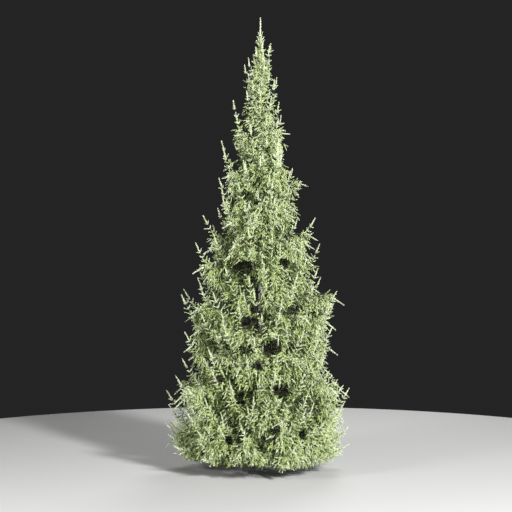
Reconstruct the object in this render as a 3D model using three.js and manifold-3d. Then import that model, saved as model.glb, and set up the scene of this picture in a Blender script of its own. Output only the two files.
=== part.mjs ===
// A tall, narrow spruce with drooping curtains and upswept bough ends, furnished to the ground.
// Millimetres, +Z up. The origin is the middle of the flat cut under the trunk, at ground level.
// The crown is a stack of whorls: each whorl's boughs carry one fan of foliage apiece, and every
// fan fills its own sector between the whorl below and its own upper side, so none touch.
import * as THREE from "three";
import { mergeVertices } from "three/addons/utils/BufferGeometryUtils.js";
import Module from "manifold-3d";

const wasm = await Module();
wasm.setup();

// Trunk
const TREE_HEIGHT = 12240;
const TRUNK_TIP = 12190;
const TRUNK_RADIUS = 100;
const TIP_RADIUS = 7;
const FLARE_RADIUS = 46;
const FLARE_HEIGHT = 210;
const ROOT_RIDGES = 5;
const RIDGE_DEPTH = 0.16;
const TRUNK_SWAY = 14;
const TRUNK_SIDES = 18;
const TRUNK_RINGS = 14;
const RING_CROWDING = 1.7; // towards the ground
const SWAY_WAVE_X = 1900;
const SWAY_WAVE_Y = 2300;
const SWAY_SHARE_Y = 0.7; // of TRUNK_SWAY
const PLUMB_FOOT = 1500; // height over which the sway begins

// Whorls, from the ground up: height on the trunk, number of boughs, how far the longest reaches,
// how high its tip stands over its root, how far it sags on the way, how far out the foliage
// starts (0 for right at the trunk), and how far the whorl is turned.
const WHORLS = [
  { height: 950, boughs: 6, reach: 2500, rise: 600, sag: 250, bare: 430, turn: 4 },
  { height: 1780, boughs: 6, reach: 2420, rise: 640, sag: 200, bare: 400, turn: -20 },
  { height: 2960, boughs: 4, reach: 2060, rise: 850, sag: 160, bare: 360, turn: 14 },
  { height: 4120, boughs: 4, reach: 2110, rise: 760, sag: 190, bare: 330, turn: -12 },
  { height: 5200, boughs: 4, reach: 1740, rise: 930, sag: 120, bare: 0, turn: 17 },
  { height: 6150, boughs: 4, reach: 1500, rise: 740, sag: 130, bare: 0, turn: -9 },
  { height: 7000, boughs: 4, reach: 1140, rise: 900, sag: 90, bare: 0, turn: 15 },
  { height: 7950, boughs: 3, reach: 1080, rise: 930, sag: 60, bare: 0, turn: 176 },
  { height: 9000, boughs: 3, reach: 760, rise: 1030, sag: 40, bare: 0, turn: 168 },
];

// Foliage fans
const SKIRT_HEIGHT = 260; // the lowest foliage over the ground
const FAN_STATIONS = 6;
const FAN_STRIPS = 6;
const SECTOR_GAP = 34; // left between neighbouring fans, and between a fan and the one below
const TRUNK_CLEARANCE = 14;
const ROOF = 120; // thickness of the foliage above the bough
const RIM = 60; // least thickness, at the outer edge
const SINK = 300; // depth of a fan under its bough, beside the trunk
const SIDE_THINNING = 0.4;
const UNEVENNESS = 0.8; // of the upper side, as a share of ROOF
const CURTAIN_SPREAD = 0.25; // of the depth of the underside
const REACH_SPREAD = 0.05;
const RISE_SPREAD = 0.12;
const FILL_START = 0.1; // share of a bough's reach from which the foliage over it gets lower
const FILL_END = 0.92;
const ROOF_AT_TRUNK = 1.2; // thickness of the foliage over the bough there, as a share of ROOF
const STATION_CROWDING = 1.25; // towards the tip
const NARROWING = 0.16; // of a fan's sector at its outer edge
const SHOULDER = 0.12; // how much shorter a fan is at its sides
const FINGER = 0.9; // every other strip's length, as a share of its neighbours'
const FINGER_SPREAD = 0.08;
const TIP_THINNING = [0.86, 1.01]; // shares of the reach over which the hanging part runs out
const FULLER_SIDE = 0.05; // the lower crown reaches further towards -X, by this share at the foot
const AZIMUTH_SPREAD = 4;

// Limbs
const LIMB_RADIUS = 25;
const LIMB_TAPER = 0.62;
const LIMB_SIDES = 7;
const LIMB_RINGS = 3;
const LIMB_THINNING = 0.35; // of a limb's radius, from the foot of the tree to its top
const COLLAR_SWELL = 0.5;
const COLLAR_LENGTH = 90;
const TOUCH_GAP = 0.6;

// Top of the crown
const TOP_FOOT = 10020;
const TOP_REACH = 610;
const TOP_SIDES = 10;
const TOP_RINGS = 11;
const TOP_LUMPS = 0.26; // unevenness of its side, as a share of its reach
const TOP_FULLNESS = 0.85; // power of its outline: under 1, it bulges
const TOP_WAIST = [-0.16, 0.2]; // shares of its height over which it widens from its foot
const LEADER_BRUSH = 40; // radius of the needles round the leading shoot

// Seeds
const TOP_SEED = 977;
const WHORL_SEED = 101;
const WHORL_SEED_STEP = 17;
const FAN_SEED = 1000;
const FAN_SEED_STEP = 100;

const BARK = new THREE.MeshStandardMaterial({ color: 0x8b8273, roughness: 0.95, metalness: 0 });
const LEAVES = new THREE.MeshStandardMaterial({ color: 0x9aa873, roughness: 0.85, metalness: 0 });

// Seeded random numbers from 0 to 1.
function seeded(seed) {
  let state = seed;
  return () => {
    state = (state + 0x6d2b79f5) | 0;
    let mixed = Math.imul(state ^ (state >>> 15), 1 | state);
    mixed = (mixed + Math.imul(mixed ^ (mixed >>> 7), 61 | mixed)) ^ mixed;
    return ((mixed ^ (mixed >>> 14)) >>> 0) / 4294967296;
  };
}

// Moves every vertex of a geometry by a function of its place, and merges what then coincides.
function warped(geometry, place) {
  geometry.deleteAttribute("normal");
  geometry.deleteAttribute("uv");
  const merged = mergeVertices(geometry, 1e-4);
  const positions = merged.getAttribute("position");
  for (let i = 0; i < positions.count; i++) {
    const point = new THREE.Vector3().fromBufferAttribute(positions, i);
    const moved = place(point);
    positions.setXYZ(i, moved.x, moved.y, moved.z);
  }
  return merged;
}

function toSolid(geometry) {
  return new wasm.Manifold(
    new wasm.Mesh({
      numProp: 3,
      vertProperties: new Float32Array(geometry.getAttribute("position").array),
      triVerts: new Uint32Array(geometry.index.array),
    }),
  );
}

function fromSolid(solid) {
  const mesh = solid.getMesh();
  const geometry = new THREE.BufferGeometry();
  geometry.setAttribute("position", new THREE.BufferAttribute(mesh.vertProperties, 3));
  geometry.setIndex(new THREE.BufferAttribute(mesh.triVerts, 1));
  return geometry;
}

function named(name, geometry, material) {
  geometry.computeVertexNormals();
  const mesh = new THREE.Mesh(geometry, material);
  mesh.name = name;
  return mesh;
}

// The trunk's radius without its ridges, at a height.
function trunkRadius(z) {
  const taper = THREE.MathUtils.lerp(TRUNK_RADIUS, TIP_RADIUS, z / TRUNK_TIP);
  return taper + FLARE_RADIUS * Math.exp(-z / FLARE_HEIGHT);
}

// The middle of the trunk at a height: almost plumb, with a slow sway.
function trunkAxis(z) {
  return new THREE.Vector3(
    TRUNK_SWAY * Math.sin(z / SWAY_WAVE_X) * Math.min(1, z / PLUMB_FOOT),
    TRUNK_SWAY * SWAY_SHARE_Y * (Math.cos(z / SWAY_WAVE_Y) - 1),
    z,
  );
}

// A round, closed column with its rings crowded towards the ground, grown by a clearance.
function trunkGeometry(clearance) {
  const column = new THREE.CylinderGeometry(1, 1, 1, TRUNK_SIDES, TRUNK_RINGS).rotateX(Math.PI / 2);
  return warped(column, (point) => {
    const z = TRUNK_TIP * (point.z + 0.5) ** RING_CROWDING;
    const angle = Math.atan2(point.y, point.x);
    const ridge = RIDGE_DEPTH * Math.cos(ROOT_RIDGES * angle) * Math.exp(-z / FLARE_HEIGHT);
    const radius = Math.hypot(point.x, point.y) * (trunkRadius(z) * (1 + ridge) + clearance);
    const over = point.z > 0 ? clearance : 0;
    return trunkAxis(z).add(
      new THREE.Vector3(radius * Math.cos(angle), radius * Math.sin(angle), over * (z / TRUNK_TIP)),
    );
  });
}

// Height of a bough over its root, at a share of its reach from the trunk to its tip.
function boughHeight(bough, share) {
  return bough.rise * share ** 4 - bough.sag * Math.sin(Math.PI * share);
}

// Upper side of a bough's foliage at a distance from the trunk's axis. Small boughs fill the
// space over its inner part, up towards the whorl above.
function roofHeight(bough, distance) {
  const share = Math.min(1, distance / bough.reach);
  const filled = 1 - THREE.MathUtils.smoothstep(share, FILL_START, FILL_END);
  const roof = ROOF * (ROOF_AT_TRUNK - share);
  return bough.root + boughHeight(bough, share) + roof + bough.fill * filled;
}

// A fan of foliage round one bough, in the bough's own frame: +X outwards, level with its root.
// Its underside hangs down to just over the whorl below, and thins out at the tip and the sides.
function fanGeometry(bough, floorAt) {
  const random = seeded(bough.seed);
  const grid = (FAN_STATIONS + 1) * (FAN_STRIPS + 1);
  const lumps = Array.from({ length: 2 * grid }, random);
  const lobes = Array.from({ length: FAN_STRIPS + 1 }, (_, strip) => {
    const across = Math.abs((2 * strip) / FAN_STRIPS - 1);
    const finger = strip % 2 === 1 ? 1 : FINGER;
    return across === 0 ? 1 : (1 - SHOULDER * across) * (finger - FINGER_SPREAD * random());
  });
  const block = new THREE.BoxGeometry(1, 1, 1, FAN_STATIONS, FAN_STRIPS, 1);
  return warped(block, (point) => {
    const station = Math.round((point.x + 0.5) * FAN_STATIONS);
    const strip = Math.round((point.y + 0.5) * FAN_STRIPS);
    const along = 1 - (1 - station / FAN_STATIONS) ** STATION_CROWDING;
    const across = 2 * point.y;
    const top = point.z > 0;
    const lump = lumps[(top ? 0 : grid) + station * (FAN_STRIPS + 1) + strip];
    const outermost = bough.reach * lobes[strip];
    const middling = THREE.MathUtils.lerp(bough.start, outermost, along);
    const half = bough.sector - Math.asin(Math.min(0.9, SECTOR_GAP / 2 / middling));
    const angle = across * half * (1 - NARROWING * along ** 2);
    const inner = bough.start / Math.cos(angle);
    const distance = THREE.MathUtils.lerp(inner, Math.max(inner, outermost), along);
    const share = distance / bough.reach;
    const limb = bough.root + boughHeight(bough, share);
    const thin = 1 - SIDE_THINNING * across ** 2;
    const droop = bough.rise * along ** 4 * (1 - lobes[strip]);
    const roof = roofHeight(bough, distance) - droop - ROOF * UNEVENNESS * (1 - thin + lump);
    const floor = floorAt(distance) + SECTOR_GAP;
    const tipward = 1 - THREE.MathUtils.smoothstep(share, ...TIP_THINNING);
    const hanging = Math.max(0, limb - floor) * thin * tipward * (1 - CURTAIN_SPREAD * lump);
    const low = Math.max(limb - droop - RIM / 2 - hanging, floor);
    const z = top ? Math.max(roof, low + RIM) : low;
    return new THREE.Vector3(distance * Math.cos(angle), distance * Math.sin(angle), z - bough.root);
  });
}

// A tapering limb along its bough's line, from inside the trunk to the inner face of its fan.
function limbGeometry(bough) {
  const rod = new THREE.CylinderGeometry(1, 1, 1, LIMB_SIDES, LIMB_RINGS).rotateZ(-Math.PI / 2);
  return warped(rod, (point) => {
    const along = point.x + 0.5;
    const x = along * (bough.start - TOUCH_GAP);
    const collar = 1 + COLLAR_SWELL * Math.exp(-x / COLLAR_LENGTH);
    const radius = bough.limbRadius * (1 - (1 - LIMB_TAPER) * along) * collar;
    const middle = boughHeight(bough, x / bough.reach);
    return new THREE.Vector3(x, point.y * radius, middle + point.z * radius);
  });
}

// The crown's top: an uneven spire of short upswept twigs round the leading shoot.
function topGeometry() {
  const random = seeded(TOP_SEED);
  const lumps = Array.from({ length: (TOP_SIDES + 1) * (TOP_RINGS + 1) }, () => random());
  const spire = new THREE.CylinderGeometry(1, 1, 1, TOP_SIDES, TOP_RINGS).rotateX(Math.PI / 2);
  return warped(spire, (point) => {
    const share = point.z + 0.5;
    const z = THREE.MathUtils.lerp(TOP_FOOT, TREE_HEIGHT, share);
    const angle = Math.atan2(point.y, point.x);
    const side = Math.round((angle / (2 * Math.PI) + 1) * TOP_SIDES) % TOP_SIDES;
    const lump = lumps[Math.round(share * TOP_RINGS) * TOP_SIDES + side];
    const waist = THREE.MathUtils.smoothstep(share, ...TOP_WAIST);
    const cone = (1 - share) ** TOP_FULLNESS * waist * (1 - TOP_LUMPS * (1 - lump));
    const crown = LEADER_BRUSH + (TOP_REACH - LEADER_BRUSH) * cone;
    const radius = Math.hypot(point.x, point.y) * crown;
    return trunkAxis(z).add(new THREE.Vector3(radius * Math.cos(angle), radius * Math.sin(angle), 0));
  });
}

// The boughs of one whorl, each with its own azimuth, reach and rise.
function whorlBoughs(whorl, level) {
  const random = seeded(WHORL_SEED + level * WHORL_SEED_STEP);
  const above = WHORLS[level + 1]?.height ?? TOP_FOOT + SINK;
  return Array.from({ length: whorl.boughs }, (_, index) => {
    const even = (index * 360) / whorl.boughs + whorl.turn;
    const azimuth = THREE.MathUtils.degToRad(even + AZIMUTH_SPREAD * (random() - 0.5));
    const clear = trunkRadius(whorl.height - SINK) + TRUNK_SWAY + TRUNK_CLEARANCE;
    const fuller = -FULLER_SIDE * Math.cos(azimuth) * (1 - whorl.height / TREE_HEIGHT);
    return {
      ...whorl,
      azimuth,
      root: whorl.height,
      reach: whorl.reach * (1 + fuller) * (1 - REACH_SPREAD * random()),
      rise: whorl.rise * (1 - RISE_SPREAD * random()),
      fill: above - whorl.height - SINK - ROOF,
      start: Math.max(whorl.bare, clear),
      sector: Math.PI / whorl.boughs - THREE.MathUtils.degToRad(AZIMUTH_SPREAD / 2),
      limbRadius: LIMB_RADIUS * (1 - LIMB_THINNING * (whorl.height / TREE_HEIGHT)),
      seed: FAN_SEED + level * FAN_SEED_STEP + index,
    };
  });
}

// A limb with the trunk, grown by a hair, cut from its inner end.
function cutByTrunk(geometry, matrix, trunkCutter) {
  const inTree = geometry.clone().applyMatrix4(matrix);
  const cut = fromSolid(toSolid(inTree).subtract(trunkCutter));
  return cut.applyMatrix4(matrix.clone().invert());
}

const tree = new THREE.Group();
tree.add(named("trunk", trunkGeometry(0), BARK));

const limbCutter = toSolid(trunkGeometry(TOUCH_GAP));
let floorBelow = () => SKIRT_HEIGHT - SECTOR_GAP;

WHORLS.forEach((whorl, level) => {
  const ring = new THREE.Group();
  const boughs = whorlBoughs(whorl, level);
  const floorAt = floorBelow;
  boughs.forEach((bough, index) => {
    const arm = new THREE.Group();
    arm.position.z = bough.root;
    arm.rotation.z = bough.azimuth;
    arm.updateMatrix();
    const label = `${level + 1}_${index + 1}`;
    if (whorl.bare > 0) {
      const limb = cutByTrunk(limbGeometry(bough), arm.matrix, limbCutter);
      arm.add(named(`bough_${label}`, limb, BARK));
    }
    arm.add(named(`foliage_${label}`, fanGeometry(bough, floorAt), LEAVES));
    ring.add(arm);
  });
  tree.add(ring);
  floorBelow = (distance) => Math.max(...boughs.map((bough) => roofHeight(bough, distance)));
});

const topCutter = toSolid(trunkGeometry(TRUNK_CLEARANCE / 4));
const top = fromSolid(toSolid(topGeometry()).subtract(topCutter));
tree.add(named("foliage_top", top, LEAVES));

export default tree;
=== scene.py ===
"""A tall, narrow spruce: bark, boughs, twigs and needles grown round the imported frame.

Metres, +Z up. The main boughs run where the frame's limbs and foliage fans are. Small boughs,
twigs and shoots grow on from them by a seeded branching rule. The needles are small blades set
round each shoot, and they are joined into pieces from the ground up.
"""
import math
from typing import NamedTuple

import bmesh
import bpy
import numpy as np
from mathutils import Matrix, Vector, noise
from mathutils.bvhtree import BVHTree


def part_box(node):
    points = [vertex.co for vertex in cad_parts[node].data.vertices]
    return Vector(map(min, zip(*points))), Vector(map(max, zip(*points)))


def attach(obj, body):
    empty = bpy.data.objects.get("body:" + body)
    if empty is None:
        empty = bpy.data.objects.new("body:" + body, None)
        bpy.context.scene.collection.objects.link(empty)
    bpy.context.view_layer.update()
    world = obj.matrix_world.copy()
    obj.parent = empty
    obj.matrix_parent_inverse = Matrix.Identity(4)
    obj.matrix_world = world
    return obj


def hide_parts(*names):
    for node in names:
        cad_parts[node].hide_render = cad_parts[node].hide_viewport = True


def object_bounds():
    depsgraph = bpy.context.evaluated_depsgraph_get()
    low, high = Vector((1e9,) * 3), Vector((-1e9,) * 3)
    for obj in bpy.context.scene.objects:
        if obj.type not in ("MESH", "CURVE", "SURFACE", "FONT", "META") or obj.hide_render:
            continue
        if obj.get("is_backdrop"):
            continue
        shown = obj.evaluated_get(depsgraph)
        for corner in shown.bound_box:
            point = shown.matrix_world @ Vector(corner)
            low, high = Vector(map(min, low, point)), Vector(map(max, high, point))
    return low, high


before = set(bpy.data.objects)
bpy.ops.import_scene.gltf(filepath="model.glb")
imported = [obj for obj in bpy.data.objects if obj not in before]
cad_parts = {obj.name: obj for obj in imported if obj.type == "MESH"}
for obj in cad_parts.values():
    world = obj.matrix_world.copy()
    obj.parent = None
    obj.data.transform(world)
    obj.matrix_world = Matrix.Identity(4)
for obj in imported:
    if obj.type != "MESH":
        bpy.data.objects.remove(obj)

CAD_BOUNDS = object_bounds()
PROUD = 0.08  # metres by which a shoot's end may stand outside the frame's box
LOW_LIMIT = np.array(CAD_BOUNDS[0]) - PROUD
HIGH_LIMIT = np.array(CAD_BOUNDS[1]) + PROUD

# Trunk
TRUNK_TIP = 12.19
TRUNK_RADIUS = 0.100
TIP_RADIUS = 0.007
FLARE_RADIUS = 0.046
FLARE_HEIGHT = 0.21
ROOT_RIDGES = 5
RIDGE_DEPTH = 0.16
TRUNK_SWAY = 0.014
SIDE_SWAY_RATE = 1.9  # metres of height to a radian of its sway to the side
BACK_SWAY_RATE = 2.3  # and to the back
BACK_SWAY = 0.7  # as a share of the sway to the side
PLUMB_FOOT = 1.5  # height over which the sway sets in
TRUNK_SIDES = 44
TRUNK_RINGS = 420
RING_CROWDING = 1.6  # how much closer the rings are towards the foot

# Bark relief
PLATE_RELIEF = 0.0045
PLATES_AROUND = 2.9  # plates to a radius
PLATES_UP = 22  # plates to a metre
PLATE_EDGE = 2.6  # how sharply a plate falls off to its crack
LUMP_RELIEF = 0.004
LUMPS = 5.0  # lumps to a metre
FULL_RELIEF = 0.05  # radius from which a limb has all of its relief

# Main boughs: the height of each whorl on the trunk and the sag of its boughs. Their azimuth,
# reach and tip are read from the frame's foliage fans.
WHORL_HEIGHTS = (0.95, 1.78, 2.96, 4.12, 5.20, 6.15, 7.00, 7.95, 9.00)
WHORL_SAGS = (0.25, 0.20, 0.16, 0.19, 0.12, 0.13, 0.09, 0.06, 0.04)
MAIN_REACH = 0.95  # share of the way to its fan's tip
FAN_CREST = 0.22  # how far a fan's tip stands over its bough's

# Lesser boughs fill the crown between them. By the height of a bough's tip: how steeply it rises,
# as rise over reach, its share of the crown's surface, in square metres, and how many of them
# sweep up at the end. The rest weep.
LOWEST_TIP = 0.42
HIGHEST_TIP = 11.62
TIP_HEIGHTS = (0.3, 1.0, 1.7, 4.0, 6.5, 8.5, 10.0, 11.7)
STEEPNESS = (-0.10, 0.10, 0.25, 0.38, 0.55, 0.85, 1.30, 2.00)
BOUGH_AREAS = (0.36, 0.27, 0.27, 0.31, 0.32, 0.24, 0.12, 0.08)
UPSWEPT_SHARES = (0.9, 0.9, 0.8, 0.6, 0.6, 0.75, 1.0, 1.0)
AZIMUTH_JITTER = (-0.2, 0.2)
LEADER_ROOM = 0.16  # under a bough's height, by its steepness, so that its leading shoot ends there
LEADER_STEEPNESS = (0.6, 1.8)  # added to the steepness for that, and the most it comes to
REACH_VARIETY = (0.93, 1.03)
REACH_INSET = 0.04
LEAST_REACH = 0.08
LEAST_GIRTH = 0.3  # taken for the thin top, where boughs would crowd
WEEPING_FALL = 0.25  # share of its reach by which a weeping bough falls
PROUD_EVERY = 3  # every third of the others stands proud of the crown
PROUD_TIP = 0.20  # by at most this much
PROUD_SHARES = (0.2, 0.8)
PROUD_RISE = 0.1
PROUD_BY_REACH = 1.3  # of that, to a metre of reach
LESSER_SAG = 0.09  # to a metre of reach
SAG_VARIETY = (0.6, 1.3)

# Gaps in the front of the crown, through which its dark inside shows: how far to the side of the
# trunk, at what height, and their half width and half height. In two upright ones the trunk shows.
GAPS = (
    (-0.44, 5.46, 0.25, 0.17),
    (0.62, 5.62, 0.13, 0.09),
    (-0.30, 3.98, 0.25, 0.17),
    (-0.10, 4.36, 0.18, 0.12),
    (0.75, 4.30, 0.20, 0.14),
    (0.30, 3.30, 0.30, 0.20),
    (-0.06, 2.80, 0.15, 0.10),
    (-1.05, 2.45, 0.12, 0.09),
    (0.48, 2.12, 0.22, 0.15),
    (-0.55, 1.98, 0.11, 0.08),
    (0.39, 1.07, 0.12, 0.08),
    (-0.84, 0.80, 0.10, 0.16),
    (1.10, 0.92, 0.09, 0.11),
    (-0.05, 4.80, 0.07, 0.22),
    (0.01, 3.76, 0.08, 0.24),
)
GAP_SLOPE = 0.03  # how much a gap falls to a metre inwards, for each metre it is under the eye
GAP_RAGGEDNESS = 1.1  # how uneven a gap's edge is
GAP_LUMPS = 5.0  # lumps of it to a metre
EYE_HEIGHT = 5.78  # of the camera

# The lowest part of the crown is a full bowl, with no notches between its fans.
SHADED_HEIGHT = 0.6  # depth from below is taken no lower than this, as the underside is in shade
FULL_HEIGHT = 2.4
FULLNESS = 1.03  # as a share of the widest mean radius near by

# The highest part is slimmer than the frame's spire, which reaches out to its furthest tips.
SLIM_HEIGHTS = (9.1, 10.3)  # over which it gets slimmer
SLIMNESS = 0.24  # share of the radius by which it does

# Branching rule: boughs
GOLDEN_ANGLE = math.radians(137.508)
BOUGH_RADIUS = 0.024
BOUGH_GIRTHS = (0.35, 0.32, 1.25)  # shares of it: at no length, more to a metre, and the most
BOUGH_TAPER = 0.84
COLLAR = 0.5  # share by which a bough is thicker where it leaves the trunk
COLLAR_LENGTH = 0.12
KNOT_RELIEF = 0.22  # share of a bough's radius
KNOTS = 18  # to a metre
KNOT_OFFSET = 0.04  # from a bough's middle, where its knots are read
LONG_BOUGH = 1.5  # from which length a bough's end is clothed further down
LONG_GRID = (9, 20)  # sides and rings of a long bough
SHORT_GRID = (6, 12)
WANDER = 0.03  # share of its reach by which a bough strays sideways
WANDER_PHASE = 2.2 * math.pi
END_BEND = 4  # how late a bough turns up or falls: the power of its share
LEAST_WEIGHT = 0.3  # how far the sprays of a steep bough hang, when those of a flat one hang by 1
WEIGHT_SLOPES = (1.4, 0.5)  # of a steep and of a flat bough
SHELL_DEPTH = 1.25  # of a bough, from its tip inwards, that bears side branches
SHELL_SHARE = 0.9  # of a short bough
TIP_LENGTH = 0.26  # of a bough, under its leading shoot, with rings of shoots
SIDE_SPACING = 0.085  # along a bough, between one side branch and the next on the other side
SIDE_CROWDING = 1.15  # how much closer side branches stand towards the tip
SIDE_JITTER = (0.2, 0.8)  # where in its step along a bough a side branch stands
HANG_AHEAD = 0.4  # which way the sprays under a bough hang: forwards, down and sideways
HANG_DOWN = 0.9
HANG_SIDEWAYS = (-0.4, 0.4)
BOUGH_SPRAYS = (0.12, 0.2, 0.16)  # their shortest and longest, and more to that by weight
FULL_HANG_ROOM = 0.5  # from the tip, where they are longest
BOUGH_SPRAY_DROOP = 0.5

# Side branches
SIDE_LENGTHS = (0.12, 0.50, 0.75)  # at the tip, more to a metre from it, and the most
SIDE_VARIETY = (0.75, 1.2)
SIDE_SPREADS = (0.65, 1.1)  # radians from the bough
SIDE_DROOP = (0.2, 0.8)  # radians, and more by weight
SIDE_STEPS = 4
SIDE_THICKNESS = (0.005, 0.004, 0.0035)  # at the foot, more to a metre, and at the end
HANG_ROOM = (0.05, 0.55)  # from the tip, over which the sprays begin to hang
SPRAY_SPACING = 0.14
SPRAY_TURNS = (0.3, 0.9)
SPRAY_HANGS = (0.1, 1.6)
SPRAY_LENGTHS = (0.07, 0.16)  # and more by weight
SPRAY_VARIETY = (0.5, 1.4)
SIDE_SPRAY_DROOP = 0.8
SIDE_END_SHOOT = 0.16

# Sprays
DENSE_DEPTH = 0.20  # inside the crown's surface, down to which every spray grows
BARE_DEPTH = 0.88  # inside the crown's surface, from which only a few do
INNER_SHARE = 0.13  # those few
SPRAY_THICKNESS = (0.0045, 0.003)
PLACE_JITTER = (0.3, 0.9)  # where in its step along a stem a shoot or spray stands
SHOOT_SPACING = 0.072
SHOOT_TURNS = (0.6, 1.15)
SHOOT_HANGS = (-0.2, 0.3)
SHOOT_LENGTH = 0.135
SHOOT_SHORTENING = 0.2  # towards the end of a spray
SHOOT_VARIETY = (0.7, 1.2)
END_SHOOT = 0.14
END_VARIETY = (0.8, 1.2)
LOW_BOLDNESS = 0.2  # how much longer, and further apart, the shoots of the lowest crown are
LOW_HEIGHTS = (2.6, 1.2)  # over which they get so
# Sprays deeper inside the crown take darker tones, down to nearly black: painted shade.
SURFACE_TONE = 0.75  # the mean tone at the crown's surface
SHADE_TONE_RISE = 3.1  # from there to deep inside
SHADE_TONE_DEPTHS = (0.05, 0.65)
TONE_SPREAD = 0.75

# Tips
LEADER_LENGTH = 0.31
LEADER_VARIETY = (0.85, 1.15)
LEADER_LIFT = 0.2  # how far it turns up from its bough, and down where that weeps
LEADER_FALL = -0.1
TIP_VIGOUR = (0.72, 0.16)  # length of a tip's shoots: of the shortest bough, more to a metre
TIP_RINGS = ((0.0, 2, 0), (0.08, 3, 0), (0.16, 3, 1), (0.24, 3, 1))  # metres back, shoots, tone
MORE_RINGS = ((0.32, 3, 1), (0.41, 3, 1), (0.50, 2, 2), (0.59, 2, 2))
RING_LEAN = 0.95
RING_SHOOTS = (0.12, 0.2, 0.25)  # length, more to a metre back, and how far back that goes on

# Limits of a shoot
OUTLINE_SLACK = 0.06  # a shoot may end this far outside the frame's crown
MAIN_SLACK = 0.13  # the same, on a main bough
LEAST_HEIGHT = 0.05  # of a shoot's end over the ground

# The crown's middle
INNER_TWIG_HEIGHTS = (0.7, 8.0, 0.0115)  # lowest, highest and spacing along the trunk
INNER_TWIG_REACH = (0.25, 0.65)  # share of the crown's radius
INNER_TWIG_SLOPES = (-0.3, 0.3)
INNER_TWIG_DROOP = 0.3
INNER_TWIG_THICKNESS = (0.007, 0.003)
INNER_SHOOT_SHARES = (0.25, 1.05)  # along a twig, from and to
INNER_SHOOT_SPACING = 0.09
INNER_SHOOT_SPREADS = (-0.8, 0.8)
INNER_SHOOT_LENGTH = 0.2
# Tones from this one up are painted shade.
INNER_TONE = 3  # from which a shoot is hidden so deep that fewer, broader needles do
LEADER_RINGS = ((0.9, 2.6, 0.24), (5.5, 8.6, 0.22), (8.6, 11.5, 0.17))  # from, to, shoot length
LEADER_RING_SPACING = 0.055
LEADER_RING_SHOOTS = 3
LEADER_RING_LEAN = 0.9
LEADER_RING_TONE = 2
TOP_RINGS = (  # height, shoots, lean and length
    (11.42, 4, 0.55, 0.26),
    (11.55, 4, 0.50, 0.22),
    (11.66, 3, 0.45, 0.20),
    (11.76, 2, 0.35, 0.15),
)
TOP_SHOOTS = ((11.72, 0.27), (11.94, 0.29))  # height and length

# Seeds of the random draws
LESSER_SEED = 5
BOUGH_SEED = 5000
INNER_SEED = 31
LEADER_SEED = 77
STEM_SEED = 3
BRUSH_SEED = 40
BRUSH_SEED_STEP = 5
NEEDLE_SEED = 500

# Pieces and needles
PIECE_LIMIT = 200_000
PIECE_COUNT = 8  # of needles
TWIG_SIDES = 3
TWIG_POINT = 0.01
STEM_OVERLAP = 1.08  # of a shoot's length that its stem has
STEM_RADIUS = (0.0075, 0.02)  # and more to a metre of its length
LONG_SPRAY_SHOOT = 0.135
LONG_TIP_SHOOT = 0.19
VARIANTS = 3
WIDTH_VARIETY = (0.88, 1.12)  # of a shoot's brush
NEEDLE_SHOULDER = 0.38  # how far up a needle of four corners is widest
NEEDLE_JITTER = (0.2, 0.8)  # where in its step along the shoot a needle stands
NEEDLE_TWIST = (-0.3, 0.3)
NEEDLE_LEAN = 1.15  # radians from the shoot, at its foot
NEEDLE_SWEEP = 0.70  # how much less that is at its end
NEEDLE_SHORTENING = 0.25  # towards its end
NEEDLE_VARIETY = (0.85, 1.15)
NEEDLED_SHARE = 0.97  # of a shoot's length
BRUSHES = {  # the shoot's length, how many needles, their length, width and corners
    "spray_short": (0.11, 22, 0.031, 0.0130, 3),
    "spray_long": (0.16, 30, 0.032, 0.0130, 3),
    "inner": (0.13, 12, 0.044, 0.0230, 3),
    "tip_short": (0.14, 38, 0.034, 0.0125, 3),
    "tip_long": (0.27, 66, 0.038, 0.0120, 4),
}

UP = np.array((0.0, 0.0, 1.0))
ASLANT = np.array((0.31, 0.17, 0.93))  # a direction that hardly any twig runs in


class Branch(NamedTuple):
    points: np.ndarray
    thick: float
    thin: float


class Shoot(NamedTuple):
    start: np.ndarray
    heading: np.ndarray
    length: float
    tone: int
    brush: str


def unit(vector):
    return vector / max(1e-9, float(np.linalg.norm(vector)))


def smoothstep(low, high, value):
    t = min(1.0, max(0.0, (value - low) / (high - low)))
    return t * t * (3 - 2 * t)


# ---------------------------------------------------------------- frame


def trunk_radius(z):
    taper = TRUNK_RADIUS + (TIP_RADIUS - TRUNK_RADIUS) * z / TRUNK_TIP
    return taper + FLARE_RADIUS * math.exp(-z / FLARE_HEIGHT)


def trunk_axis(z):
    x = TRUNK_SWAY * math.sin(z / SIDE_SWAY_RATE) * min(1.0, z / PLUMB_FOOT)
    y = TRUNK_SWAY * (math.cos(z / BACK_SWAY_RATE) - 1) * BACK_SWAY
    return np.array((x, y, z))


def fan_nodes(level):
    return sorted(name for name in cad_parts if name.startswith(f"foliage_{level}_"))


def fan_tip(node):
    """The vertex of a foliage fan that is furthest from the trunk."""
    corners = np.array([vertex.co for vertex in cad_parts[node].data.vertices])
    return corners[np.argmax(np.hypot(corners[:, 0], corners[:, 1]))]


def slim_share(height):
    return 1 - SLIMNESS * smoothstep(*SLIM_HEIGHTS, height)


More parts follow.
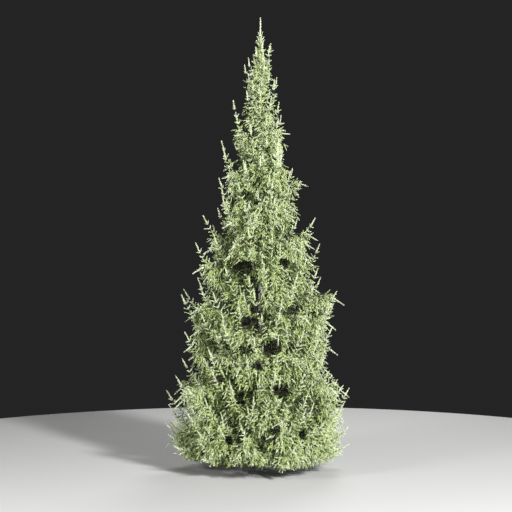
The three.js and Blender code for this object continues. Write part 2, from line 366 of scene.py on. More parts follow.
class Outline:
    """How far the crown reaches from the trunk, by azimuth and height, as the frame's fans do."""

    AZIMUTHS = 120
    STEP = 0.06
    HALO = 3  # azimuth steps either way that bridge the gaps between fans
    REACH = 6  # height steps either way that bridge the notches between the lowest whorls
    LOW_ROWS = 8  # height steps over which the crown widens from the ground
    OUTSIDE = 5  # metres from the trunk
    SPAN = 0.3  # how far over and under a point its depth is taken as well
    SPAN_SLACK = 0.25  # that the crown may be narrower there

    def __init__(self):
        bm = bmesh.new()
        for name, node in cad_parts.items():
            if name.startswith("foliage_"):
                bm.from_mesh(node.data)
        tree = BVHTree.FromBMesh(bm)
        bm.free()
        rows = int(CAD_BOUNDS[1][2] / self.STEP) + 1
        raw = np.zeros((self.AZIMUTHS, rows))
        for column in range(self.AZIMUTHS):
            azimuth = math.tau * column / self.AZIMUTHS
            out = Vector((math.cos(azimuth), math.sin(azimuth), 0))
            for row in range(rows):
                middle = Vector((0, 0, (row + 0.5) * self.STEP))
                found = tree.ray_cast(middle + out * self.OUTSIDE, -out)[0]
                if found is not None:
                    raw[column, row] = (found - middle).dot(out)
        turned = [np.roll(raw, shift, axis=0) for shift in range(-self.HALO, self.HALO + 1)]
        self.table = np.max(turned, axis=0)
        full = int(FULL_HEIGHT / self.STEP)
        mean = self.table.mean(axis=0)
        for row in range(full):
            widest = mean[max(0, row - self.REACH) : row + self.REACH].max()
            share = FULLNESS * smoothstep(0, self.LOW_ROWS, row)
            self.table[:, row] = np.maximum(self.table[:, row], share * widest)

    def row(self, height):
        return min(self.table.shape[1] - 1, max(0, int(height / self.STEP)))

    def radius(self, azimuth, height):
        column = int(round(azimuth / math.tau * self.AZIMUTHS)) % self.AZIMUTHS
        return self.table[column, self.row(height)]

    def girth(self, height):
        """The crown's mean radius."""
        return float(self.table[:, self.row(height)].mean())

    def depth(self, point):
        """How deep a point lies inside the crown, from its side, from above or from below."""
        reach = math.hypot(point[0], point[1])
        azimuth = math.atan2(point[1], point[0])
        beside = self.radius(azimuth, point[2])
        over = self.radius(azimuth, point[2] + self.SPAN) + self.SPAN_SLACK
        lower = max(SHADED_HEIGHT, point[2] - self.SPAN)
        under = self.radius(azimuth, lower) + self.SPAN_SLACK
        return min(beside, over, under) - reach

    def holds(self, point, slack):
        reach = math.hypot(point[0], point[1])
        limit = self.radius(math.atan2(point[1], point[0]), point[2]) * slim_share(point[2])
        return reach < limit + slack and point[2] > LEAST_HEIGHT


# ---------------------------------------------------------------- branching rule


def in_gap(point):
    """Whether a point lies in one of the gaps that run in towards the trunk from the front."""
    back = point[1]
    if back > 0:
        return False
    ragged = 1 + GAP_RAGGEDNESS * noise.noise(Vector(point) * GAP_LUMPS)
    for side, height, half_width, half_height in GAPS:
        middle = height - back * GAP_SLOPE * (EYE_HEIGHT - height)
        beside = (point[0] - side) / half_width
        over = (point[2] - middle) / half_height
        if beside**2 + over**2 < ragged:
            return True
    return False


class Growth:
    """The boughs, branches and shoots, kept until they are joined into pieces."""

    def __init__(self, outline):
        self.outline = outline
        self.slack = OUTLINE_SLACK
        self.limbs = []
        self.branches = []
        self.shoots = []

    def branch(self, points, thick, thin):
        self.branches.append(Branch(np.array(points), thick, thin))

    def shoot(self, start, heading, length, tone, brush="spray"):
        """A shoot, unless it lies in a gap or ends outside the crown. Only tips stand proud."""
        heading = unit(heading)
        end = start + heading * length
        if in_gap(end) or in_gap(start + heading * (length / 2)):
            return
        if not (np.all(end > LOW_LIMIT) and np.all(end < HIGH_LIMIT)):
            return
        if brush == "tip" or self.outline.holds(end, self.slack):
            self.shoots.append(Shoot(np.array(start), heading, length, tone, brush))


class Bough:
    """One limb from the trunk, out and down, then up again to its tip, or up and then weeping."""

    def __init__(self, azimuth, root, reach, rise, sag, seed, fall=0.0):
        self.root = root
        self.reach = reach
        self.rise = rise
        self.sag = sag
        self.fall = fall
        self.out = np.array((math.cos(azimuth), math.sin(azimuth), 0.0))
        self.side = np.array((-math.sin(azimuth), math.cos(azimuth), 0.0))
        self.rng = np.random.default_rng(seed)
        self.wander = self.rng.uniform(-WANDER, WANDER, 2) * reach
        self.length = math.hypot(reach, rise)
        self.weight = LEAST_WEIGHT + (1 - LEAST_WEIGHT) * smoothstep(*WEIGHT_SLOPES, rise / reach)

    def point(self, share):
        if self.fall:
            height = self.rise * share - self.fall * share**END_BEND
        else:
            height = self.rise * share**END_BEND - self.sag * math.sin(math.pi * share)
        across = self.wander[0] * math.sin(WANDER_PHASE * share) + self.wander[1] * share**2
        base = trunk_axis(self.root)
        return base + self.out * (self.reach * share) + self.side * across + UP * height

    def heading(self, share):
        return unit(self.point(share + 0.01) - self.point(share - 0.01))


def branch_path(start, heading, length, droop, steps):
    """Points along a thin branch. A level one turns down by droop radians from end to end, and
    an upright or hanging one by half of that.
    """
    points = [np.array(start)]
    for _ in range(steps):
        heading = unit(heading - UP * (droop / steps) * (1 - 0.5 * heading[2] ** 2))
        point = points[-1] + heading * (length / steps)
        point[2] = max(point[2], LEAST_HEIGHT)
        points.append(point)
    return points


def along(points, share):
    place = share * (len(points) - 1)
    first = min(len(points) - 2, int(place))
    return points[first] + (points[first + 1] - points[first]) * (place - first)


def course_at(points, share):
    return unit(along(points, min(1, share + 0.05)) - along(points, share - 0.05))


def tone_for(rng, depth):
    """A spray's tone, from 0, pale new growth at the crown's surface, to 4, nearly black deep
    inside the crown, where the darker tones are painted shade.
    """
    mean = SURFACE_TONE + SHADE_TONE_RISE * smoothstep(*SHADE_TONE_DEPTHS, depth)
    return int(np.clip(round(rng.normal(mean, TONE_SPREAD)), 0, len(NEEDLE_TONES) - 1))


def grow_spray(growth, start, heading, length, droop, rng):
    """A drooping branchlet with shoots in two ranks along it and one at its end."""
    points = branch_path(start, heading, length, droop, 1)
    depth = growth.outline.depth(points[-1])
    hidden = (1 - INNER_SHARE) * smoothstep(DENSE_DEPTH, BARE_DEPTH, depth)
    outside = not growth.outline.holds(points[-1], growth.slack)
    if outside or rng.random() < hidden or in_gap(points[-1]):
        return
    growth.branch(points, *SPRAY_THICKNESS)
    tone = tone_for(rng, depth)
    bold = 1 + LOW_BOLDNESS * smoothstep(*LOW_HEIGHTS, points[0][2])
    count = max(1, round(length / SHOOT_SPACING / bold))
    roll = rng.uniform(0, math.tau)
    for index in range(count):
        share = (index + rng.uniform(*PLACE_JITTER)) / count
        ahead = course_at(points, share)
        first = unit(np.cross(ahead, UP) + np.array((1e-3, 0, 0)))
        across = first * math.cos(roll) + np.cross(ahead, first) * math.sin(roll)
        turn = (1 if index % 2 else -1) * rng.uniform(*SHOOT_TURNS)
        course = ahead * math.cos(turn) + across * math.sin(turn) - UP * rng.uniform(*SHOOT_HANGS)
        size = SHOOT_LENGTH * (1 - SHOOT_SHORTENING * share) * rng.uniform(*SHOOT_VARIETY) * bold
        growth.shoot(along(points, share), course, size, tone)
    size = END_SHOOT * rng.uniform(*END_VARIETY)
    growth.shoot(points[-1], points[-1] - points[-2], size, max(0, tone - 1))


def grow_side(growth, bough, room, side, rng):
    """A side branch that leaves the bough forwards and sideways, with sprays hanging from it."""
    share = 1 - room / bough.length
    least, more, most = SIDE_LENGTHS
    length = min(most, least + more * room) * rng.uniform(*SIDE_VARIETY)
    ahead = bough.heading(share)
    spread = side * rng.uniform(*SIDE_SPREADS)
    heading = ahead * math.cos(spread) + bough.side * math.sin(spread)
    weight = bough.weight * (1 if bough.fall else smoothstep(*HANG_ROOM, room))
    droop = SIDE_DROOP[0] + SIDE_DROOP[1] * weight
    points = branch_path(bough.point(share), heading, length, droop, SIDE_STEPS)
    end, middle = points[-1], points[SIDE_STEPS // 2]
    if not growth.outline.holds(end, growth.slack) or in_gap(end) or in_gap(middle):
        return
    foot, more, thin = SIDE_THICKNESS
    growth.branch(points, foot + more * length, thin)
    count = max(1, round(length / SPRAY_SPACING))
    for index in range(count):
        place = (index + rng.uniform(*PLACE_JITTER)) / count
        course = course_at(points, place)
        turn = (1 if index % 2 else -1) * rng.uniform(*SPRAY_TURNS)
        flat = unit(np.cross(course, UP))
        course = course * math.cos(turn) + flat * math.sin(turn)
        hang = weight * rng.uniform(*SPRAY_HANGS)
        size = (SPRAY_LENGTHS[0] + SPRAY_LENGTHS[1] * weight) * rng.uniform(*SPRAY_VARIETY)
        heading = unit(course - UP * hang)
        grow_spray(growth, along(points, place), heading, size, SIDE_SPRAY_DROOP * weight, rng)
    tone = tone_for(rng, growth.outline.depth(end))
    growth.shoot(end, end - points[-2], SIDE_END_SHOOT * rng.uniform(*END_VARIETY), tone)


def ring_of_shoots(growth, at, heading, count, lean, length, tone, rng, brush="tip"):
    """Shoots set evenly round a stem, leaning out from its heading."""
    first = unit(np.cross(heading, UP) + np.array((1e-4, 0, 0)))
    second = np.cross(heading, first)
    turned = rng.uniform(0, math.tau)
    for index in range(count):
        angle = turned + math.tau * (index + rng.uniform(-0.2, 0.2)) / count
        outwards = first * math.cos(angle) + second * math.sin(angle)
        tilt = lean * rng.uniform(*LEADER_VARIETY)
        course = heading * math.cos(tilt) + outwards * math.sin(tilt)
        growth.shoot(at, course, length * rng.uniform(*END_VARIETY), tone, brush)


def grow_tip(growth, bough, rng):
    """The end of a bough: a long leading shoot over rings of short ones."""
    vigour = min(1.0, TIP_VIGOUR[0] + TIP_VIGOUR[1] * bough.length)
    heading = bough.heading(1.0) + UP * (LEADER_FALL if bough.fall else LEADER_LIFT)
    leader = LEADER_LENGTH * vigour * rng.uniform(*LEADER_VARIETY)
    growth.shoot(bough.point(1), heading, leader, 0, "tip")
    rings = TIP_RINGS
    if bough.length > LONG_BOUGH and not bough.fall:
        rings += MORE_RINGS
    least, more, most = RING_SHOOTS
    for back, count, tone in rings:
        share = 1 - back / bough.length
        size = (least + more * min(most, back)) * vigour
        at, ahead = bough.point(share), bough.heading(share)
        ring_of_shoots(growth, at, ahead, count, RING_LEAN, size, tone, rng)


def grow_bough(growth, bough):
    """A bough's side branches and the sprays that hang from it, up to its tip."""
    rng = bough.rng
    growth.limbs.append(bough)
    clothed = min(SHELL_DEPTH, bough.length * SHELL_SHARE)
    count = max(2, int((clothed - TIP_LENGTH) / SIDE_SPACING))
    for index in range(count):
        step = (index + rng.uniform(*SIDE_JITTER)) / count
        room = TIP_LENGTH + (clothed - TIP_LENGTH) * step**SIDE_CROWDING
        grow_side(growth, bough, room, 1 if index % 2 else -1, rng)
        share = 1 - room / bough.length
        ahead = bough.heading(share) * HANG_AHEAD
        hang = ahead - UP * HANG_DOWN * bough.weight + bough.side * rng.uniform(*HANG_SIDEWAYS)
        shortest, longest, more = BOUGH_SPRAYS
        longest += more * smoothstep(0, FULL_HANG_ROOM, room) * bough.weight
        size = rng.uniform(shortest, longest)
        droop = BOUGH_SPRAY_DROOP * bough.weight
        grow_spray(growth, bough.point(share), unit(hang), size, droop, rng)
    grow_tip(growth, bough, rng)


def main_boughs():
    """The whorls' main boughs, one to each foliage fan of the frame."""
    for level, (root, sag) in enumerate(zip(WHORL_HEIGHTS, WHORL_SAGS), start=1):
        base = trunk_axis(root)
        for index, node in enumerate(fan_nodes(level)):
            tip = fan_tip(node) - base
            reach = math.hypot(tip[0], tip[1]) * MAIN_REACH
            rise = tip[2] - FAN_CREST
            yield Bough(math.atan2(tip[1], tip[0]), root, reach, rise, sag, level * 100 + index)


def lesser_boughs(outline):
    """Smaller boughs whose tips are spread evenly over the crown's surface."""
    rng = np.random.default_rng(LESSER_SEED)
    height = LOWEST_TIP
    index = 0
    steeper, steepest = LEADER_STEEPNESS
    while height < HIGHEST_TIP:
        azimuth = GOLDEN_ANGLE * index + rng.uniform(*AZIMUTH_JITTER)
        steep = float(np.interp(height, TIP_HEIGHTS, STEEPNESS))
        tip_height = height - LEADER_ROOM * min(steepest, steeper + steep)
        full_reach = outline.radius(azimuth, height)
        reach = full_reach * slim_share(height) * rng.uniform(*REACH_VARIETY) - REACH_INSET
        if reach > LEAST_REACH:
            fall = 0.0
            if rng.random() > np.interp(height, TIP_HEIGHTS, UPSWEPT_SHARES):
                fall = WEEPING_FALL * reach
                tip_height = height + fall
            elif index % PROUD_EVERY == 0:
                proud = PROUD_TIP * rng.uniform(*PROUD_SHARES)
                reach = full_reach + proud * min(1.0, PROUD_BY_REACH * reach)
                tip_height += PROUD_RISE
            rise = steep * reach
            sag = LESSER_SAG * reach * rng.uniform(*SAG_VARIETY)
            yield Bough(azimuth, tip_height - rise, reach, rise, sag, BOUGH_SEED + index, fall)
        area = float(np.interp(height, TIP_HEIGHTS, BOUGH_AREAS))
        height += area / (math.tau * max(LEAST_GIRTH, outline.girth(height)))
        index += 1


def grow_inner_twigs(growth):
    """Short twigs straight from the trunk, with shoots in the darkest tones, painted shade, that
    close the crown's middle.
    """
    rng = np.random.default_rng(INNER_SEED)
    for index, height in enumerate(np.arange(*INNER_TWIG_HEIGHTS)):
        azimuth = GOLDEN_ANGLE * index
        slope = rng.uniform(*INNER_TWIG_SLOPES)
        heading = np.array((math.cos(azimuth), math.sin(azimuth), slope))
        length = growth.outline.girth(height) * rng.uniform(*INNER_TWIG_REACH)
        start = trunk_axis(height)
        points = branch_path(start, unit(heading), length, INNER_TWIG_DROOP, 1)
        growth.branch(points, *INNER_TWIG_THICKNESS)
        # the two darkest tones: painted shade
        tone = INNER_TONE + index % 2
        for share in np.arange(*INNER_SHOOT_SHARES, INNER_SHOOT_SPACING / length):
            spread = rng.uniform(*INNER_SHOOT_SPREADS, 3) * length
            ahead = unit(points[-1] - points[0] + spread)
            growth.shoot(along(points, min(1.0, share)), ahead, INNER_SHOOT_LENGTH, tone)


def grow_leader(growth):
    """The leading shoot at the top, over rings of upswept shoots round the end of the trunk, and
    rings of darker ones round the trunk where the crown is thin.
    """
    rng = np.random.default_rng(LEADER_SEED)
    for low, high, length in LEADER_RINGS:
        for height in np.arange(low, high, LEADER_RING_SPACING):
            at, count, tone = trunk_axis(height), LEADER_RING_SHOOTS, LEADER_RING_TONE
            ring_of_shoots(growth, at, UP, count, LEADER_RING_LEAN, length, tone, rng, "spray")
    for height, count, lean, length in TOP_RINGS:
        ring_of_shoots(growth, trunk_axis(height), UP, count, lean, length, 0, rng)
    for height, length in TOP_SHOOTS:
        growth.shoot(trunk_axis(height), UP, length, 0, "tip")


def grow_tree():
    outline = Outline()
    growth = Growth(outline)
    growth.slack = MAIN_SLACK
    for bough in main_boughs():
        grow_bough(growth, bough)
    growth.slack = OUTLINE_SLACK
    for bough in lesser_boughs(outline):
        grow_bough(growth, bough)
    grow_inner_twigs(growth)
    grow_leader(growth)
    return growth


# ---------------------------------------------------------------- meshes


def linked(name, data):
    """An object of a mesh, a light or a camera, in the scene."""
    piece = bpy.data.objects.new(name, data)
    bpy.context.scene.collection.objects.link(piece)
    return piece


def piece_from_arrays(name, vertices, triangles, materials, tones):
    """An object of loose triangles, with a material to each tone."""
    mesh = bpy.data.meshes.new(name)
    mesh.vertices.add(len(vertices))
    mesh.vertices.foreach_set("co", np.ascontiguousarray(vertices, np.float32).ravel())
    mesh.loops.add(triangles.size)
    mesh.loops.foreach_set("vertex_index", np.ascontiguousarray(triangles, np.int32).ravel())
    mesh.polygons.add(len(triangles))
    mesh.polygons.foreach_set("loop_start", np.arange(0, triangles.size, 3, dtype=np.int32))
    for material in materials:
        mesh.materials.append(material)
    mesh.polygons.foreach_set("material_index", np.ascontiguousarray(tones, np.int32))
    mesh.update(calc_edges=True)
    return linked(name, mesh)


def template_arrays(bm):
    """A small bmesh as vertices and triangles, to be copied many times."""
    bmesh.ops.triangulate(bm, faces=bm.faces[:])
    bm.verts.ensure_lookup_table()
    vertices = np.array([vertex.co for vertex in bm.verts])
    triangles = np.array([[vertex.index for vertex in face.verts] for face in bm.faces])
    bm.free()
    return vertices, triangles


def needle(bm, place, length, width, corners):
    """One needle: a long pointed blade, from its foot at the stem to its tip along +Z."""
    blade = bmesh.ops.create_circle(bm, cap_ends=True, radius=1, segments=corners)["verts"]
    low = min(vertex.co.y for vertex in blade)
    high = max(vertex.co.y for vertex in blade)
    for vertex in blade:
        rise = (vertex.co.y - low) / (high - low)
        if corners == 4 and 0.1 < rise < 0.9:
            rise = NEEDLE_SHOULDER
        vertex.co = Vector((vertex.co.x * width / 2, 0.0, rise * length))
    bmesh.ops.transform(bm, matrix=place, verts=blade)


def brush_template(length, count, reach, width, corners, seed):
    """A shoot's needles set in a spiral round its stem, swept forwards, over a length along +Z."""
    rng = np.random.default_rng(seed)
    bm = bmesh.new()
    for index in range(count):
        share = (index + rng.uniform(*NEEDLE_JITTER)) / count
        angle = GOLDEN_ANGLE * index + rng.uniform(*NEEDLE_TWIST)
        lean = (NEEDLE_LEAN - NEEDLE_SWEEP * share**2) * rng.uniform(*NEEDLE_VARIETY)
        place = (
            Matrix.Translation((0, 0, NEEDLED_SHARE * share * length))
            @ Matrix.Rotation(angle, 4, "Z")
            @ Matrix.Rotation(lean, 4, "Y")
            @ Matrix.Rotation(rng.uniform(0, math.tau), 4, "Z")
        )
        size = reach * (1 - NEEDLE_SHORTENING * share) * rng.uniform(*NEEDLE_VARIETY)
        needle(bm, place, size, width, corners)
    return template_arrays(bm)


def stem_template():
    """A three-sided stem 1 long, from a foot of radius 1 to a point."""
    bm = bmesh.new()
    bmesh.ops.create_cone(bm, cap_ends=True, segments=3, radius1=1, radius2=0, depth=1)
    bmesh.ops.translate(bm, vec=(0, 0, 0.5), verts=bm.verts)
    return template_arrays(bm)


def frames_for(headings, rng):
    """Right-handed axes for each heading, turned at random about it."""
    helper = np.where(np.abs(headings[:, 2:3]) < 0.9, UP, np.array((1.0, 0.0, 0.0)))
    first = np.cross(headings, helper)
    first /= np.linalg.norm(first, axis=1, keepdims=True)
    second = np.cross(headings, first)
    angle = rng.uniform(0, math.tau, (len(headings), 1))
    turned = first * np.cos(angle) + second * np.sin(angle)
    return turned, np.cross(headings, turned)


def copies(template, starts, headings, lengths, widths, rng):
    """The template's vertices and triangles, once for each start, heading, length and width."""
    vertices, triangles = template
    first, second = frames_for(headings, rng)
    x, y, z = vertices.T
    placed = (
        starts[:, None, :]
        + first[:, None, :] * (x[None, :, None] * widths[:, None, None])
        + second[:, None, :] * (y[None, :, None] * widths[:, None, None])
        + headings[:, None, :] * (z[None, :, None] * lengths[:, None, None])
    )
    offsets = np.arange(len(starts))[:, None, None] * len(vertices)
    return placed.reshape(-1, 3), (triangles[None] + offsets).reshape(-1, 3)


def stacked(parts):
    """Several vertex and triangle pairs as one."""
    vertices, triangles, base = [], [], 0
    for points, faces in parts:
        vertices.append(points)
        triangles.append(faces + base)
        base += len(points)
    return np.concatenate(vertices), np.concatenate(triangles)


def tubes(branches):
    """Thin three-sided tubes through equal numbers of points, tapering to a point."""
    sides = TWIG_SIDES
    points = np.array([branch.points for branch in branches])
    thick = np.array([branch.thick for branch in branches])
    thin = np.array([branch.thin for branch in branches])
    count, rings = points.shape[:2]
    ahead = np.gradient(points, axis=1)
    ahead /= np.linalg.norm(ahead, axis=2, keepdims=True)
    first = np.cross(ahead, ASLANT)
    first /= np.linalg.norm(first, axis=2, keepdims=True)
    second = np.cross(ahead, first)
    angle = np.arange(sides) * math.tau / sides
    radius = thick[:, None] + (thin - thick)[:, None] * np.linspace(0, 1, rings)[None]
    around = (
        first[:, :, None, :] * np.cos(angle)[None, None, :, None]
        + second[:, :, None, :] * np.sin(angle)[None, None, :, None]
    )
    skin = points[:, :, None, :] + around * radius[:, :, None, None]
    tips = points[:, -1:, :] + ahead[:, -1:, :] * TWIG_POINT
    vertices = np.concatenate([skin.reshape(count, -1, 3), tips], axis=1)
    faces = []
    for ring in range(rings - 1):
        for side in range(sides):
            a, b = ring * sides + side, ring * sides + (side + 1) % sides
            faces += [(a, b, a + sides), (b, b + sides, a + sides)]
    last, tip = (rings - 1) * sides, rings * sides
    faces += [(last + side, last + (side + 1) % sides, tip) for side in range(sides)]
    faces.append((2, 1, 0))
    faces = np.array(faces)
    offsets = np.arange(count)[:, None, None] * (rings * sides + 1)
    return vertices.reshape(-1, 3), (faces[None] + offsets).reshape(-1, 3)


# ---------------------------------------------------------------- materials


def plain_material(name, colour, roughness):
    material = bpy.data.materials.new(name)
    material.use_nodes = True
    shader = material.node_tree.nodes["Principled BSDF"]
    shader.inputs["Base Color"].default_value = (*colour, 1)
    shader.inputs["Roughness"].default_value = roughness
    material.diffuse_color = (*colour, 1)
    return material


BARK_ROUGHNESS = 0.9
BARK_STRETCH = (1, 1, 0.45)
PLATE_SCALE = 42
PLATE_CONTRAST = 2.4
FLAKE_SCALE = 24
FLAKE_DETAIL = 6
FLAKE_ROUGHNESS = 0.65
CRACK_STOP, PLATE_STOP, FLAKE_STOP = 0.36, 0.6, 0.92
BUMP_STRENGTH = 0.5
BUMP_HEIGHT = 0.004


def bark_material(name, crack, plate, flake):
    """Scaly bark with paler flakes, darker in the cracks between its plates."""
    material = plain_material(name, plate, BARK_ROUGHNESS)
    nodes, links = material.node_tree.nodes, material.node_tree.links
    shader = nodes["Principled BSDF"]
    place = nodes.new("ShaderNodeTexCoord")
    stretch = nodes.new("ShaderNodeMapping")
    stretch.inputs["Scale"].default_value = BARK_STRETCH
    links.new(place.outputs["Object"], stretch.inputs["Vector"])
    plates = nodes.new("ShaderNodeTexVoronoi")
    plates.feature = "DISTANCE_TO_EDGE"
    plates.inputs["Scale"].default_value = PLATE_SCALE
    links.new(stretch.outputs["Vector"], plates.inputs["Vector"])
    flakes = nodes.new("ShaderNodeTexNoise")
    flakes.inputs["Scale"].default_value = FLAKE_SCALE
    flakes.inputs["Detail"].default_value = FLAKE_DETAIL
    flakes.inputs["Roughness"].default_value = FLAKE_ROUGHNESS
    links.new(stretch.outputs["Vector"], flakes.inputs["Vector"])
    blend = nodes.new("ShaderNodeMath")
    blend.operation = "MULTIPLY_ADD"
    blend.inputs[1].default_value = PLATE_CONTRAST
    links.new(plates.outputs["Distance"], blend.inputs[0])
    links.new(flakes.outputs["Fac"], blend.inputs[2])
    tint = nodes.new("ShaderNodeValToRGB")
    ramp = tint.color_ramp
    ramp.elements[0].position = CRACK_STOP
    ramp.elements[0].color = (*crack, 1)
    ramp.elements[1].position = FLAKE_STOP
    ramp.elements[1].color = (*flake, 1)
    middle = ramp.elements.new(PLATE_STOP)
    middle.color = (*plate, 1)
    links.new(blend.outputs["Value"], tint.inputs["Fac"])
    links.new(tint.outputs["Color"], shader.inputs["Base Color"])
    bump = nodes.new("ShaderNodeBump")
    bump.inputs["Strength"].default_value = BUMP_STRENGTH
    bump.inputs["Distance"].default_value = BUMP_HEIGHT
    links.new(blend.outputs["Value"], bump.inputs["Height"])
    links.new(bump.outputs["Normal"], shader.inputs["Normal"])
    return material


# Grey bark, made paler than it is so that the trunk looks lit in the shade inside the crown: partly
# its own colour, partly painted light.
TRUNK_BARK_PAINTED_LIGHT = bark_material(
    "trunk_bark_grey_painted_light",
    crack=(0.19, 0.155, 0.13),
    plate=(0.50, 0.46, 0.405),
    flake=(0.70, 0.67, 0.62),
)
# Brown bark darkened to nearly black so the boughs merge into the shade inside the crown: painted
# shade.
BOUGH_BARK_PAINTED_SHADE = bark_material(
    "bough_bark_brown_painted_shade",
    crack=(0.012, 0.010, 0.007),
    plate=(0.028, 0.022, 0.016),
    flake=(0.060, 0.050, 0.037),
)
# Tones 0 to 2 are the needles' own colours, palest at new growth. Tones 3 and 4 are dealt out deep
# inside the crown and are painted shade.
NEEDLE_TONES = [
    plain_material("needles_new_growth", (0.57, 0.63, 0.44), 0.55),
    plain_material("needles_pale", (0.52, 0.61, 0.31), 0.55),
    plain_material("needles_yellow_green", (0.43, 0.53, 0.165), 0.55),
    plain_material("needles_mid_green", (0.17, 0.235, 0.07), 0.6),
    plain_material("needles_deep_painted_shade", (0.05, 0.075, 0.018), 0.6),
]
# Both are nearly black, and the olive one greenish, like the shade inside the crown: painted shade.
TWIG_TONES = [
    plain_material("twig_brown", (0.030, 0.026, 0.016), 0.8),
    plain_material("twig_olive", (0.045, 0.056, 0.020), 0.85),
]
# The dark stem goes with the needles' darkest tones deep in the crown: painted shade.
STEM_TONES = [
    plain_material("shoot_pale", (0.47, 0.54, 0.26), 0.7),
    plain_material("shoot_green", (0.31, 0.38, 0.14), 0.7),
    plain_material("shoot_dark", (0.12, 0.16, 0.05), 0.7),
]


# ---------------------------------------------------------------- pieces


def bark_relief(direction, place, radius):
    """How far a point of bark stands off the smooth trunk: plates with cracks between them."""
    x, y, _ = direction
    spot = Vector((x * PLATES_AROUND, y * PLATES_AROUND, place[2] * PLATES_UP))
    gaps = noise.voronoi(spot)[0]
    plate = min(1.0, (gaps[1] - gaps[0]) * PLATE_EDGE)
    lumps = noise.noise(Vector(place) * LUMPS)
    relief = PLATE_RELIEF * (plate - 0.5) + LUMP_RELIEF * lumps
    return min(1.0, radius / FULL_RELIEF) * relief


def trunk_piece():
    """The trunk with its root flare, ridges and plated bark, cut flat at the ground."""
    bm = bmesh.new()
    bmesh.ops.create_grid(bm, x_segments=TRUNK_SIDES, y_segments=TRUNK_RINGS, size=0.5)
    for vertex in bm.verts:
        angle = (vertex.co.x + 0.5) * math.tau
        share = vertex.co.y + 0.5
        z = TRUNK_TIP * share**RING_CROWDING
        direction = np.array((math.cos(angle), math.sin(angle), 0.0))
        ridge = RIDGE_DEPTH * math.cos(ROOT_RIDGES * angle) * math.exp(-z / FLARE_HEIGHT)
        radius = trunk_radius(z)
        middle = trunk_axis(z)
        surface = middle + direction * radius
        proud = bark_relief(direction, surface, radius)
        vertex.co = Vector(middle + direction * (radius * (1 + ridge) + proud))
    return closed_limbs(bm, "trunk_bark", TRUNK_BARK_PAINTED_LIGHT)


def closed_limbs(bm, name, bark):
    """An object of rolled-up grids, with their seams joined and their ends closed."""
    bmesh.ops.remove_doubles(bm, verts=bm.verts, dist=1e-6)
    open_edges = [edge for edge in bm.edges if edge.is_boundary]
    bmesh.ops.holes_fill(bm, edges=open_edges, sides=0)
    bmesh.ops.recalc_face_normals(bm, faces=bm.faces)
    for face in bm.faces:
        face.smooth = len(face.verts) == 4
    mesh = bpy.data.meshes.new(name)
    bm.to_mesh(mesh)
    bm.free()
    mesh.materials.append(bark)
    return linked(name, mesh)


def bough_piece(boughs):
    """Every bough as a tapering knotty limb, from inside the trunk to its tip."""
    bm = bmesh.new()
    least, more, most = BOUGH_GIRTHS
    for bough in boughs:
        sides, rings = LONG_GRID if bough.length > LONG_BOUGH else SHORT_GRID
        thick = BOUGH_RADIUS * min(most, least + more * bough.length)
        grid = bmesh.ops.create_grid(bm, x_segments=sides, y_segments=rings, size=0.5)["verts"]
        for vertex in grid:
            angle = (vertex.co.x + 0.5) * math.tau
            share = vertex.co.y + 0.5
            middle = bough.point(share)
            ahead = bough.heading(share)
            level_side = unit(np.cross(ahead, UP))
            over = np.cross(level_side, ahead)
            direction = level_side * math.cos(angle) + over * math.sin(angle)
            collar = 1 + COLLAR * math.exp(-share * bough.reach / COLLAR_LENGTH)
            radius = thick * (1 - BOUGH_TAPER * share) * collar
            knots = noise.noise(Vector(middle + direction * KNOT_OFFSET) * KNOTS)
            vertex.co = Vector(middle + direction * radius * (1 + KNOT_RELIEF * knots))
    return closed_limbs(bm, "bough_bark", BOUGH_BARK_PAINTED_SHADE)


def branch_piece(branches, name):
    """Side branches, in brown, and the stems of sprays, in olive, joined."""
    parts, tones = [], []
    for steps, tone in ((SIDE_STEPS, 0), (1, 1)):
        made = tubes([branch for branch in branches if len(branch.points) == steps + 1])
        parts.append(made)
        tones.append(np.full(len(made[1]), tone))
    vertices, triangles = stacked(parts)
    return piece_from_arrays(name, vertices, triangles, TWIG_TONES, np.concatenate(tones))


def columns(shoots):
    """Starts, headings, lengths and tones of some shoots, as arrays."""
    return [np.array(column) for column in list(zip(*shoots))[:4]]


def stem_piece(shoots, name):
    """The stems of shoots, joined, each in its tone."""
    rng = np.random.default_rng(STEM_SEED)
    starts, headings, lengths, tones = columns(shoots)
    stem = stem_template()
    radii = STEM_RADIUS[0] + lengths * STEM_RADIUS[1]
    vertices, triangles = copies(stem, starts, headings, lengths * STEM_OVERLAP, radii, rng)
    # stems take their shoots' tone, so those deep inside the crown are darker: painted shade
    tones = np.repeat((tones + 1) // 2, len(stem[1]))
    return piece_from_arrays(name, vertices, triangles, STEM_TONES, tones)


def needle_piece(shoots, templates, name, seed):
    """The needles of some shoots, joined, each shoot in its tone."""
    rng = np.random.default_rng(seed)
    parts, tones = [], []
    for key, choices in templates.items():
        mine = [shoot for shoot in shoots if brush_for(shoot) == key]
        for index, template in enumerate(choices):
            chosen = mine[index :: len(choices)]
            if not chosen:
                continue
            starts, headings, lengths, shades = columns(chosen)
            widths = rng.uniform(*WIDTH_VARIETY, len(chosen))
            parts.append(copies(template, starts, headings, lengths, widths, rng))
            tones.append(np.repeat(shades, len(template[1])))
    vertices, triangles = stacked(parts)
    if len(triangles) >= PIECE_LIMIT:
        raise ValueError(f"{name} has {len(triangles)} triangles")
    return piece_from_arrays(name, vertices, triangles, NEEDLE_TONES, np.concatenate(tones))


def brush_for(shoot):
    """Which brush a shoot takes: by its kind, and short or long."""
    if shoot.brush == "tip":
        return "tip_long" if shoot.length > LONG_TIP_SHOOT else "tip_short"
    if shoot.tone >= INNER_TONE:
        return "inner"
    return "spray_long" if shoot.length > LONG_SPRAY_SHOOT else "spray_short"


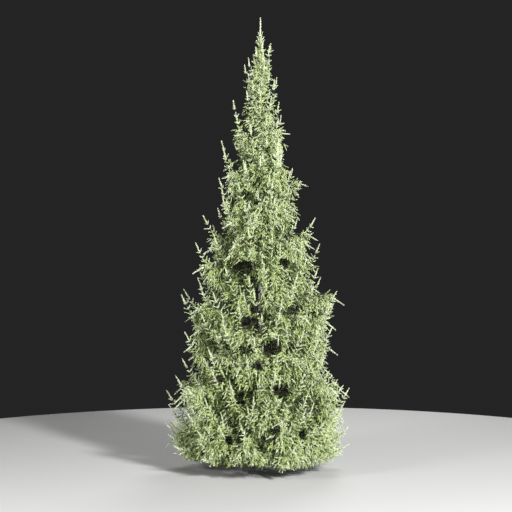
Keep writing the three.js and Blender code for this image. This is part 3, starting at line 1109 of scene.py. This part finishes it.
def brushes():
    """Needle brushes by kind, some variants of each, one unit long."""
    made = {}
    for number, (kind, (length, *needles)) in enumerate(BRUSHES.items()):
        made[kind] = []
        seed = BRUSH_SEED + number * BRUSH_SEED_STEP
        for variant in range(VARIANTS):
            vertices, triangles = brush_template(length, *needles, seed + variant)
            made[kind].append((vertices / np.array((1, 1, length)), triangles))
    return made


def halves(rows, height):
    """The lower half of some branches or shoots and the upper half, by their height."""
    ranked = sorted(rows, key=height)
    middle = len(ranked) // 2
    return ("lower", ranked[:middle]), ("upper", ranked[middle:])


def show(piece, nodes):
    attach(piece, "root")
    if nodes:
        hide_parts(*nodes)


def build_tree():
    growth = grow_tree()
    show(trunk_piece(), ["trunk"])
    limbs = [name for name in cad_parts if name.startswith("bough_")]
    show(bough_piece(growth.limbs), sorted(limbs))
    for half, branches in halves(growth.branches, lambda branch: branch.points[0][2]):
        show(branch_piece(branches, f"twigs_{half}"), [])
    for half, part in halves(growth.shoots, lambda shoot: shoot.start[2]):
        show(stem_piece(part, f"shoot_stems_{half}"), [])
    templates = brushes()
    fans = sorted(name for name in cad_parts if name.startswith("foliage_"))
    shoots = sorted(growth.shoots, key=lambda shoot: shoot.start[2])
    cuts = np.linspace(0, len(shoots), PIECE_COUNT + 1).astype(int)
    for number in range(PIECE_COUNT):
        part = shoots[cuts[number] : cuts[number + 1]]
        low, high = part[0].start[2], part[-1].start[2]
        stood_for = []
        for fan in fans:
            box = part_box(fan)
            middle = (box[0][2] + box[1][2]) / 2
            if low <= middle < high:
                stood_for.append(fan)
        piece = needle_piece(part, templates, f"needles_{number + 1}", NEEDLE_SEED + number)
        show(piece, stood_for)


# ---------------------------------------------------------------- stage


FLOOR_RADIUS = 14
FLOOR_COLOUR = (0.40, 0.40, 0.395)
FLOOR_ROUGHNESS = 0.9
SKY_COLOUR = (0.018, 0.018, 0.019)
CAMERA_SPOT = (-0.12, -33.6, EYE_HEIGHT)
LENS = 87.3  # in millimetres, on a sensor of this width
SENSOR_WIDTH = 36
SIGHT = 400  # how far the camera sees
LIT_POINT = (0, 0, 5.5)
LIGHTS = (  # name, place, diameter and power
    ("key", (17, -28, 17), 4.2, 30500),
    ("fill", (-15, -14, 9), 6, 2800),
    ("back", (4, 16, 16), 8, 2600),
)


def build_stage():
    """A plain pale floor in a dim studio, with one strong soft light and two weak ones."""
    bm = bmesh.new()
    bmesh.ops.create_circle(bm, cap_ends=True, radius=FLOOR_RADIUS, segments=128)
    mesh = bpy.data.meshes.new("floor")
    bm.to_mesh(mesh)
    bm.free()
    mesh.materials.append(plain_material("floor_pale", FLOOR_COLOUR, FLOOR_ROUGHNESS))
    floor = linked("floor", mesh)
    floor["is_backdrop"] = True

    world = bpy.data.worlds.new("studio")
    world.use_nodes = True
    sky = world.node_tree.nodes["Background"]
    sky.inputs["Color"].default_value = (*SKY_COLOUR, 1)
    sky.inputs["Strength"].default_value = 1.0
    bpy.context.scene.world = world

    for name, spot, size, energy in LIGHTS:
        light = bpy.data.lights.new(name, "AREA")
        light.shape = "DISK"
        light.size = size
        light.energy = energy
        holder = linked(name, light)
        holder.location = spot
        aim = Vector(LIT_POINT) - Vector(spot)
        holder.rotation_euler = aim.to_track_quat("-Z", "Y").to_euler()
    bpy.context.scene.view_settings.view_transform = "Standard"


def build_camera():
    """A camera level with the middle of the tree, in front of it."""
    camera = bpy.data.cameras.new("camera")
    camera.lens = LENS
    camera.sensor_width = SENSOR_WIDTH
    camera.clip_end = SIGHT
    holder = linked("camera", camera)
    holder.location = CAMERA_SPOT
    holder.rotation_euler = (math.pi / 2, 0, 0)
    bpy.context.scene.camera = holder


build_camera()
build_stage()
build_tree()

boxes = {"cad": CAD_BOUNDS, "visual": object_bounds()}
{name: [list(corner) for corner in box] for name, box in boxes.items()}
